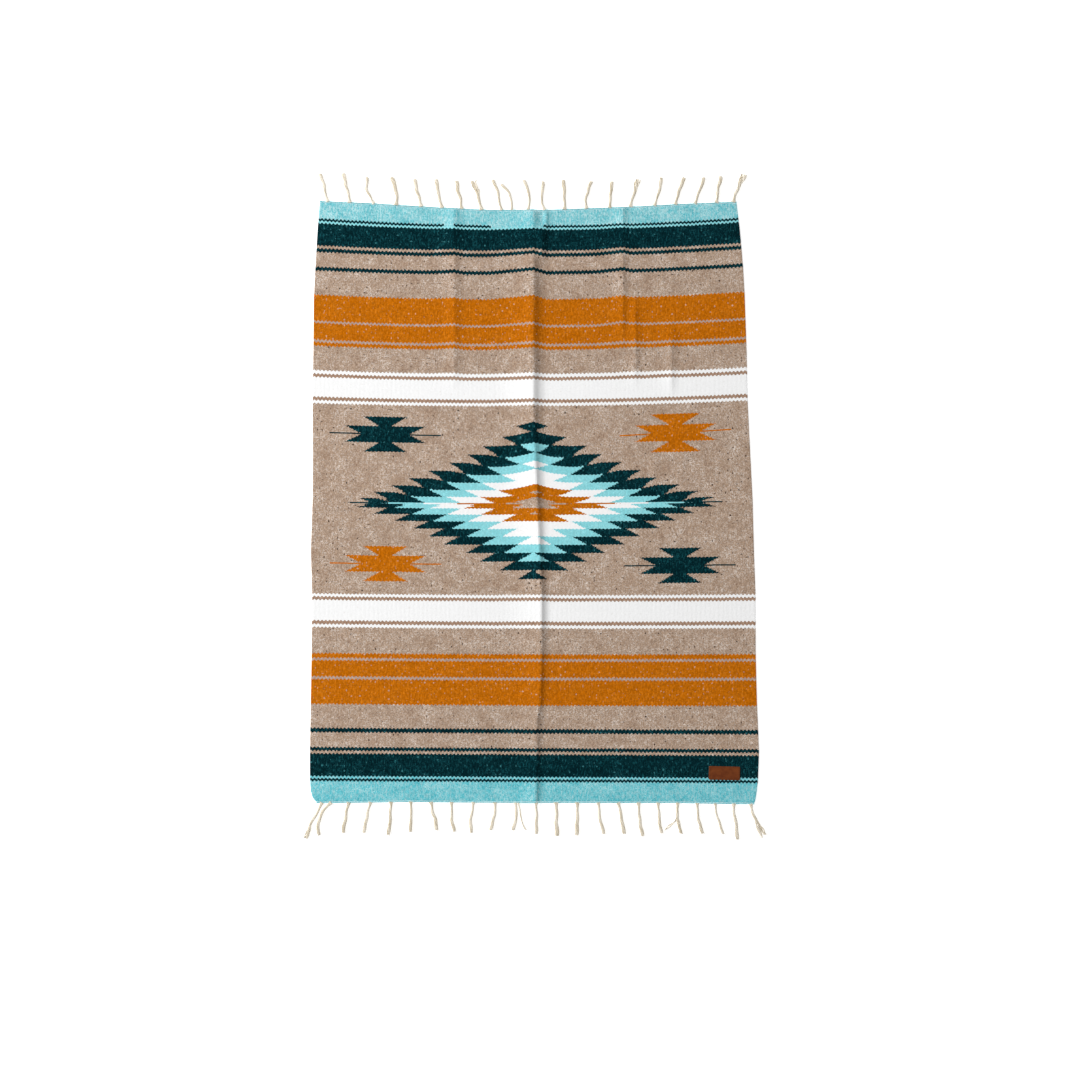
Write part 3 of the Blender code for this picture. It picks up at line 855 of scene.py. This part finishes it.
offset = add(twining, "ShaderNodeVectorMath", moved, operation="SCALE")
plies = add(twining, "GeometryNodeSetPosition", {0: plies, "Offset": offset})
twined = round_section(twining, plies, given["Sides"], given["Ply radius"])
finish_tree(twining, twined, cord_wool)

for side, end in (("far", HALF_LENGTH), ("near", -HALF_LENGTH)):
    edge = underside(across(columns, end), end)
    outward = np.sign(end)
    edge[:, 1] += outward * (SEAM + PLY_OFFSET + PLY_RADIUS)
    edge[:, 2] += PLY_OFFSET + PLY_RADIUS + CORD_CLEAR
    links = [(place, place + 1) for place in range(len(edge) - 1)]
    guide = new_object("end_line", edge, [], links)
    sizes = {"Plies": CORD_PLIES, "Ply radius": PLY_RADIUS * MM, "Ply offset": PLY_OFFSET * MM}
    sizes.update({"Lay": CORD_LAY * MM, "Sides": PLY_SIDES, "Point step": CORD_POINT_STEP * MM})
    cord = made_plain(f"end_cord_{side}", guide, twining, **sizes)
    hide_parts(f"fringe_{side}")
    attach(cord, "root")


# The fringe is the cotton warp itself. The weaver knots its ends in small bunches against the cord,
# and each bunch is a few loosely twisted yarns that spread at the root and fluff out at the tip.
HEADING_DEPTH = 4.0
HEADING_RISE = 0.3
HEADING_HEIGHT = 2.6
FLOOR_GAP = 0.3
FALL_SHARE = 0.3

# The bunches, from left to right: where each is knotted, how far its tip leans to the right, its reach,
# how far its middle bows out, how full it is, and how wide its tip forks.
Bunch = namedtuple("Bunch", "root lean reach bow full split", defaults=(0,))
FAR_BUNCHES = (
    Bunch(-489, -17.5, 62, 0, 0.9),
    Bunch(-438, -15, 64.5, 2, 1),
    Bunch(-382, -14.5, 58.5, -7, 0.8),
    Bunch(-329, -12, 62, 5, 1.1),
    Bunch(-271, -15.5, 60.5, 0, 1),
    Bunch(-223, -14, 63.5, 0, 1),
    Bunch(-177, -12, 62.5, 1, 1),
    Bunch(-130.5, -17, 66, 0, 1, 6.5),
    Bunch(-84.5, -19.5, 68, 1, 0.8),
    Bunch(-60, -25, 57, 7.5, 0.75),
    Bunch(-21, -11.5, 67, 7, 0.8),
    Bunch(16, -2.5, 63.5, -4, 0.9),
    Bunch(63, -3.5, 66, 2, 1),
    Bunch(114, 13.5, 60, -6, 0.9),
    Bunch(169, 5.5, 58.5, 0, 0.9),
    Bunch(217.5, 18.5, 61, -2, 1, 2.6),
    Bunch(273.5, 15, 63, 2, 0.9),
    Bunch(322, 21, 59.5, -2, 1),
    Bunch(368, 20, 58.5, 2, 0.9),
    Bunch(417.5, 10, 58.5, 0, 1),
    Bunch(457, 25.5, 61.5, -2, 1.1, 3),
)
NEAR_BUNCHES = (
    Bunch(-503, -39, 80, -1, 0.9, 1.8),
    Bunch(-483, -24, 73, -15, 0.9),
    Bunch(-440, -12, 68, -2, 1),
    Bunch(-389, -16, 68, -1, 1),
    Bunch(-341.5, -7, 75, 1, 1),
    Bunch(-295, -1, 68, 0, 0.9),
    Bunch(-248, 14, 63, 0, 1),
    Bunch(-200, 7, 66, -3, 0.9),
    Bunch(-149.5, -5, 68, -1, 0.9),
    Bunch(-99, -12, 61, 6, 0.9),
    Bunch(-51, -7, 61, 5, 0.9),
    Bunch(-44, 18, 61, -4, 0.35),
    Bunch(-2.5, 0, 70, 0, 0.9),
    Bunch(44, 2, 75, 0, 1.1),
    Bunch(93, -2, 73, 0, 1.1),
    Bunch(142, 13, 70, -1, 0.9),
    Bunch(189, 14, 70, 1, 1),
    Bunch(236, 10, 75, -2, 1),
    Bunch(281.5, 9, 68, -3, 0.9),
    Bunch(327, -10, 66, 2, 0.9, 20),
    Bunch(372.5, 14, 68, -4, 0.9),
    Bunch(414.5, 20, 68, -4, 0.7),
    Bunch(458, 9, 80, -2, 1),
    Bunch(497.5, 31, 72, -4, 0.95, 7),
)

YARNS_IN_BUNCH = 9
YARN_RADIUS = 1.35
YARN_SIDES = 5
YARN_POINTS = 24
BUNCH_TURNS = 1.6
SPREAD = 6.6
RISE = 0.9
WAVE = 1.0
WAVES = 5.0
BUNCH_WAVE = 9.0
BUNCH_WAVES = 2.6
TIP_FLUFF = 2.5
TIP_TAPER = 8.0
TIP_LEAST = 0.45
CUT_UNEVEN = 0.04
COTTON_SPOT = 3.03

# How wide the yarns of a bunch spread, from its root to its tip.
Girth = namedtuple("Girth", "share width")
GIRTHS = (
    Girth(0.0, 0.62),
    Girth(0.05, 0.5),
    Girth(0.14, 0.32),
    Girth(0.35, 0.38),
    Girth(0.65, 0.46),
    Girth(0.88, 0.54),
    Girth(1.0, 0.44),
)

# These keep the chances of one bunch apart from those of the next.
NUMBERS_APART = 16.0
TURNS_APART = 0.37
BENDS_APART = 7.3

# Loosely twisted cotton is matt and cream, and each yarn has its own tint and fine streaks.
cotton, tree, shader = new_material("loosely_twisted_cotton_warp", 0.9, 0.1)
tint = add(tree, "ShaderNodeAttribute", {}, out=2, attribute_name="tint")
place = add(tree, "ShaderNodeTexCoord", {}, out=3)
streak = add(tree, "ShaderNodeTexNoise", {"Vector": place, "Scale": 1 / (COTTON_SPOT * MM), "Detail": 2.0})
mixed_tint = add(tree, "ShaderNodeMath", {0: tint, 1: streak}, operation="ADD")
shade_place = add(tree, "ShaderNodeMapRange", {"Value": mixed_tint, "From Min": 0.3, "From Max": 1.5})
cotton_colours = {0: shade_place, 6: linear("#C8BBA1"), 7: linear("#F1E9DA")}
cotton_colour = add(tree, "ShaderNodeMix", cotton_colours, out=2, data_type="RGBA")
tree.links.new(cotton_colour, shader.inputs["Base Color"])

bunch_counts = ("Yarns", "Points", "Sides", "Seed")
bunch_sizes = ("Yarn radius", "Spread", "Rise", "Turns", "Wave", "Bunch wave")
bunching, given = tree_with_inputs("twisted_bunch", bunch_counts, bunch_sizes)
line = add(bunching, "GeometryNodeMeshToCurve", {0: given["Geometry"]})
line = add(bunching, "GeometryNodeResampleCurve", {0: line, "Count": given["Points"]}, mode="COUNT")
share = add(bunching, "GeometryNodeSplineParameter", {})
kept = {0: line, "Name": "share", "Value": share}
line = add(bunching, "GeometryNodeStoreNamedAttribute", kept, data_type="FLOAT", domain="POINT")
copied = {0: line, "Amount": given["Yarns"]}
yarns = add(bunching, "GeometryNodeDuplicateElements", copied, domain="SPLINE")
kept = {0: yarns, "Name": "yarn", "Value": yarns.node.outputs["Duplicate Index"]}
yarns = add(bunching, "GeometryNodeStoreNamedAttribute", kept, data_type="FLOAT", domain="POINT")
twist = {name: given[name] for name in ("Yarns", "Spread", "Rise", "Turns", "Wave", "Bunch wave")}
for name in ("share", "yarn", "bunch", "full", "split"):
    twist[name] = add(bunching, "GeometryNodeInputNamedAttribute", {"Name": name}, data_type="FLOAT")
add_rows(bunching, MATH, twist, [("own_number", "MULTIPLY_ADD", "bunch", NUMBERS_APART, "yarn")])
drawn = {2: 0.0, 3: 1.0, "ID": twist["own_number"], "Seed": given["Seed"]}
twist["own_share"] = add(bunching, "FunctionNodeRandomValue", drawn, out=1, data_type="FLOAT")
kept = {0: yarns, "Name": "tint", "Value": twist["own_share"]}
yarns = add(bunching, "GeometryNodeStoreNamedAttribute", kept, data_type="FLOAT", domain="POINT")

twist["girth"] = add(bunching, "ShaderNodeFloatCurve", {"Value": twist["share"]})
curve_points = twist["girth"].node.mapping.curves[0].points
curve_points[0].location = GIRTHS[0]
for girth in GIRTHS[1:-1]:
    curve_points.new(*girth)
curve_points[-1].location = GIRTHS[-1]
twist["girth"].node.mapping.update()
add_rows(bunching, MATH, twist, [
    ("even_width", "MULTIPLY", "girth", "Spread"),
    ("width", "MULTIPLY", "even_width", "full"),
    ("height", "MINIMUM", "width", "Rise"),
    ("yarn_turn", "DIVIDE", "yarn", "Yarns"),
    ("turn", "MULTIPLY_ADD", "share", "Turns", "yarn_turn"),
    ("turn", "MULTIPLY_ADD", "bunch", TURNS_APART, "turn"),
    ("angle", "MULTIPLY", "turn", math.tau),
    ("cosine", "COSINE", "angle"),
    ("sine", "SINE", "angle"),
    ("sideways", "MULTIPLY", "cosine", "width"),
    ("upwards", "MULTIPLY", "sine", "height"),
    ("past_fork", "MULTIPLY_ADD", "share", 2.0, -1.0),
    ("from_fork", "MAXIMUM", "past_fork", 0.0),
    ("forked", "MULTIPLY", "from_fork", "split"),
    ("side_chance", "SUBTRACT", "own_share", 0.5),
    ("which_side", "SIGN", "side_chance"),
    ("sideways", "MULTIPLY_ADD", "forked", "which_side", "sideways"),
    ("wave_run", "MULTIPLY", "share", WAVES),
    ("bunch_run", "MULTIPLY", "share", BUNCH_WAVES),
    ("bunch_place", "MULTIPLY", "bunch", BENDS_APART),
])
wave_place = add(bunching, "ShaderNodeCombineXYZ", {0: twist["wave_run"], 1: twist["own_number"]})
waving = {"Vector": wave_place, "Scale": 1.0, "Detail": 1.0}
twist["waving"] = add(bunching, "ShaderNodeTexNoise", waving)
bunch_place = add(bunching, "ShaderNodeCombineXYZ", {0: twist["bunch_run"], 1: twist["bunch_place"]})
bending = {"Vector": bunch_place, "Scale": 1.0, "Detail": 0.0}
twist["bending"] = add(bunching, "ShaderNodeTexNoise", bending)
add_rows(bunching, MATH, twist, [
    ("wave_off", "SUBTRACT", "waving", 0.5),
    ("even_wave", "MULTIPLY", "wave_off", "Wave"),
    ("wave", "MULTIPLY", "even_wave", "share"),
    ("sideways", "ADD", "sideways", "wave"),
    ("bend_off", "SUBTRACT", "bending", 0.5),
    ("even_bend", "MULTIPLY", "bend_off", "Bunch wave"),
    ("bend_in", "SUBTRACT", 1.0, "share"),
    ("bend_share", "MULTIPLY", "bend_in", "share"),
    ("bend_most", "MULTIPLY", "bend_share", 4.0),
    ("sideways", "MULTIPLY_ADD", "even_bend", "bend_most", "sideways"),
    ("cut_at", "MULTIPLY_ADD", "own_share", CUT_UNEVEN, 1 - CUT_UNEVEN),
    ("from_tip", "SUBTRACT", 1.0, "share"),
    ("taper", "MULTIPLY_ADD", "from_tip", TIP_TAPER, TIP_LEAST),
    ("tapered", "MINIMUM", "taper", 1.0),
    ("by_full", "POWER", "full", 0.5),
    ("thick", "MULTIPLY", "tapered", "by_full"),
])
tangent = add(bunching, "GeometryNodeInputTangent", {})
crossed = {0: tangent, 1: (0, 0, 1)}
side_way = add(bunching, "ShaderNodeVectorMath", crossed, operation="CROSS_PRODUCT")
side_way = add(bunching, "ShaderNodeVectorMath", {0: side_way}, operation="NORMALIZE")
moved = {0: side_way, "Scale": twist["sideways"]}
aside = add(bunching, "ShaderNodeVectorMath", moved, operation="SCALE")
above = add(bunching, "ShaderNodeCombineXYZ", {2: twist["upwards"]})
offset = add(bunching, "ShaderNodeVectorMath", {0: aside, 1: above}, operation="ADD")
yarns = add(bunching, "GeometryNodeSetPosition", {0: yarns, "Offset": offset})
yarns = add(bunching, "GeometryNodeTrimCurve", {0: yarns, "End": twist["cut_at"]}, mode="FACTOR")
bunched = round_section(bunching, yarns, given["Sides"], given["Yarn radius"], Scale=twist["thick"])
finish_tree(bunching, bunched, cotton)

# Each bunch follows a line that starts a little inside the knots.
GUIDE_START = -0.03
GUIDE_POINTS = 14
FRINGE_ENDS = (("far", FAR_BUNCHES, HALF_LENGTH, 3), ("near", NEAR_BUNCHES, -HALF_LENGTH, 8))
for side, bunches, end, seed in FRINGE_ENDS:
    edge = underside(across(columns, end), end)
    outward = np.sign(end)
    guide_points, links, carried = [], [], {"bunch": [], "full": [], "split": []}
    for number, bunch in enumerate(bunches):
        start = np.interp(bunch.root, edge[:, 0], edge[:, 1]) + outward * (SEAM + HEADING_DEPTH)
        root_height = float(lift(bunch.root, end)) + HEADING_RISE + HEADING_HEIGHT / 2
        lying = FLOOR_GAP + YARN_RADIUS * bunch.full**0.5 + RISE
        for step, share in enumerate(np.linspace(GUIDE_START, 1, GUIDE_POINTS)):
            if step:
                links.append((len(guide_points) - 1, len(guide_points)))
            bowed = bunch.bow * 4 * share * (1 - share)
            held = min(1.0, max(0.0, 1 - share / FALL_SHARE)) ** 2
            along = start + outward * (bunch.reach + TIP_FLUFF) * share
            across_floor = bunch.root + bunch.lean * share + bowed
            guide_points.append((across_floor, along, lying + held * max(0.0, root_height - lying)))
            carried["bunch"].append(number)
            carried["full"].append(bunch.full)
            carried["split"].append(bunch.split * MM)
    guide = new_object("bunch_lines", guide_points, [], links)
    for name, numbers in carried.items():
        attribute = guide.data.attributes.new(name, "FLOAT", "POINT")
        attribute.data.foreach_set("value", np.array(numbers, np.float32))
    sizes = {"Yarns": YARNS_IN_BUNCH, "Points": YARN_POINTS, "Sides": YARN_SIDES, "Seed": seed}
    sizes.update({"Yarn radius": YARN_RADIUS * MM, "Spread": SPREAD * MM, "Rise": RISE * MM})
    sizes.update({"Turns": BUNCH_TURNS, "Wave": WAVE * MM, "Bunch wave": BUNCH_WAVE * MM})
    fringe = made_plain(f"warp_fringe_{side}", guide, bunching, **sizes)
    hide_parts(f"fringe_{side}")
    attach(fringe, "root")


# The patch is a small plain tag of vegetable-tanned hide, its cut edges rounded and burnished. It is
# sewn to the cloth near the near right corner, and its face is bare.
PATCH_X = 436.0
PATCH_ALONG = -628.4
PATCH_LENGTH = 72.5
PATCH_WIDTH = 31.6
PATCH_CORNER = 2.0
CORNER_KEPT = 1.2
CORNER_LEAST = 0.6
PATCH_TURN = math.radians(-1.0)
PATCH_FLOOR = WALL + SEAM

# The patch's outlines, from its underside up to its face: how far each is moved in, and how high it is.
Rim = namedtuple("Rim", "inset height")
PATCH_RIMS = (
    Rim(0.35, 0),
    Rim(0.08, 0.18),
    Rim(0, 0.5),
    Rim(0.02, 0.95),
    Rim(0.15, 1.28),
    Rim(0.45, 1.5),
    Rim(0.95, 1.58),
    Rim(1.6, 1.6),
)
CORNER_STEPS = 5


def patch_ring(inset):
    """The patch's outline, moved in by an inset, with each corner as an arc."""
    ring = []
    radius = max(CORNER_LEAST, PATCH_CORNER - max(0.0, inset - CORNER_KEPT))
    for turn, (sx, sy) in enumerate(((1, 1), (-1, 1), (-1, -1), (1, -1))):
        for part in np.linspace(0, 1, CORNER_STEPS):
            angle = math.radians(90 * (turn + part))
            x = sx * (PATCH_LENGTH / 2 - inset - radius) + radius * math.cos(angle)
            y = sy * (PATCH_WIDTH / 2 - inset - radius) + radius * math.sin(angle)
            across_cloth = PATCH_X + x * math.cos(PATCH_TURN) - y * math.sin(PATCH_TURN)
            along = PATCH_ALONG + x * math.sin(PATCH_TURN) + y * math.cos(PATCH_TURN)
            ring.append((across_cloth, MIDDLE_Y + float(forward(across_cloth, along))))
    return ring


patch_points, patch_faces = [], []
for level, rim in enumerate(PATCH_RIMS):
    ring = patch_ring(rim.inset)
    patch_points += [(x, y, PATCH_FLOOR + rim.height) for x, y in ring]
    for place in range(len(ring)):
        if level:
            after = (place + 1) % len(ring)
            low, high = (level - 1) * len(ring), level * len(ring)
            patch_faces.append((low + place, low + after, high + after, high + place))
patch_faces.append(tuple(range(len(ring)))[::-1])
patch_faces.append(tuple(range(len(patch_points) - len(ring), len(patch_points))))
patch = new_object("hide_tag", patch_points, patch_faces)
patch.data.shade_smooth()

# Burnished hide is a mottled dark brown with a soft shine and a fine grain.
HIDE_MOTTLE = 10.526
HIDE_GRAIN = 0.7143
GRAIN_DEPTH = 0.2

tag_hide, tree, shader = new_material("burnished_brown_hide", 0.55, 0.15)
place = add(tree, "ShaderNodeTexCoord", {}, out=3)
mottle = add(tree, "ShaderNodeTexNoise", {"Vector": place, "Scale": 1 / (HIDE_MOTTLE * MM), "Detail": 3.0})
hide_colours = {0: mottle, 6: linear("#4C1B05"), 7: linear("#80431B")}
hide_colour = add(tree, "ShaderNodeMix", hide_colours, out=2, data_type="RGBA")
tree.links.new(hide_colour, shader.inputs["Base Color"])
grain = add(tree, "ShaderNodeTexVoronoi", {"Vector": place, "Scale": 1 / (HIDE_GRAIN * MM)})
grain_bump = {"Strength": 0.35, "Distance": GRAIN_DEPTH * MM, "Height": grain}
tree.links.new(add(tree, "ShaderNodeBump", grain_bump), shader.inputs["Normal"])
patch.data.materials.append(tag_hide)
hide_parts("leather_patch")
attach(patch, "root")


# Waxed brown thread sews the patch down. It goes through the hide and the cloth in short even stitches,
# just inside the patch's edge.
STITCH_INSET = 2.7
STITCH_PITCH = 4.6
STITCH_LENGTH = 2.7
STITCH_RADIUS = 0.34
STITCH_SIDES = 6
STITCH_POINTS = 7
STITCH_TAPER = 0.75
STITCH_RISE = 0.3
STRAND_SPOT = 1.111

# Wax gives the thread a slight shine, and its strands show as fine streaks.
waxed_thread, tree, shader = new_material("waxed_brown_thread", 0.6, 0.3)
place = add(tree, "ShaderNodeTexCoord", {}, out=3)
strands = add(tree, "ShaderNodeTexNoise", {"Vector": place, "Scale": 1 / (STRAND_SPOT * MM), "Detail": 1.0})
thread_colours = {0: strands, 6: linear("#3A1A0A"), 7: linear("#6B3A1C")}
thread_colour = add(tree, "ShaderNodeMix", thread_colours, out=2, data_type="RGBA")
tree.links.new(thread_colour, shader.inputs["Base Color"])

stitch_sizes = ("Pitch", "Stitch length", "Stitch radius")
sewing, given = tree_with_inputs("patch_stitches", ("Points", "Sides"), stitch_sizes)
line = add(sewing, "GeometryNodeMeshToCurve", {0: given["Geometry"]})
needle_holes = {0: line, "Length": given["Pitch"]}
holes = add(sewing, "GeometryNodeCurveToPoints", needle_holes, mode="LENGTH")
sewn_by = {"length": given["Stitch length"], "at": add(sewing, "GeometryNodeSplineParameter", {})}
add_rows(sewing, MATH, sewn_by, [
    ("half", "MULTIPLY", "length", 0.5),
    ("off_middle", "MULTIPLY_ADD", "at", 2.0, -1.0),
    ("squared", "MULTIPLY", "off_middle", "off_middle"),
    ("girth", "MULTIPLY_ADD", "squared", -STITCH_TAPER, 1.0),
])
stitch_start = add(sewing, "ShaderNodeCombineXYZ", {2: sewn_by["half"]})
stitch_end = add(sewing, "ShaderNodeVectorMath", {0: stitch_start, 1: (-1, -1, -1)}, operation="MULTIPLY")
thread_run = {"Start": stitch_start, "End": stitch_end}
thread = add(sewing, "GeometryNodeCurvePrimitiveLine", thread_run)
thread = add(sewing, "GeometryNodeResampleCurve", {0: thread, "Count": given["Points"]}, mode="COUNT")
stitch = round_section(sewing, thread, given["Sides"], given["Stitch radius"], Scale=sewn_by["girth"])
sewn = {0: holes, "Instance": stitch, "Rotation": holes.node.outputs["Rotation"]}
stitches = add(sewing, "GeometryNodeInstanceOnPoints", sewn)
finish_tree(sewing, stitches, waxed_thread)

stitch_ring = patch_ring(STITCH_INSET)
stitch_height = PATCH_FLOOR + PATCH_RIMS[-1].height + STITCH_RADIUS * STITCH_RISE
stitch_line = [(x, y, stitch_height) for x, y in stitch_ring]
links = [(place, (place + 1) % len(stitch_line)) for place in range(len(stitch_line))]
guide = new_object("stitch_line", stitch_line, [], links)
sizes = {"Pitch": STITCH_PITCH * MM, "Stitch length": STITCH_LENGTH * MM}
sizes.update({"Stitch radius": STITCH_RADIUS * MM, "Sides": STITCH_SIDES, "Points": STITCH_POINTS})
stitching = made_plain("tag_stitches", guide, sewing, **sizes)
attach(stitching, "root")
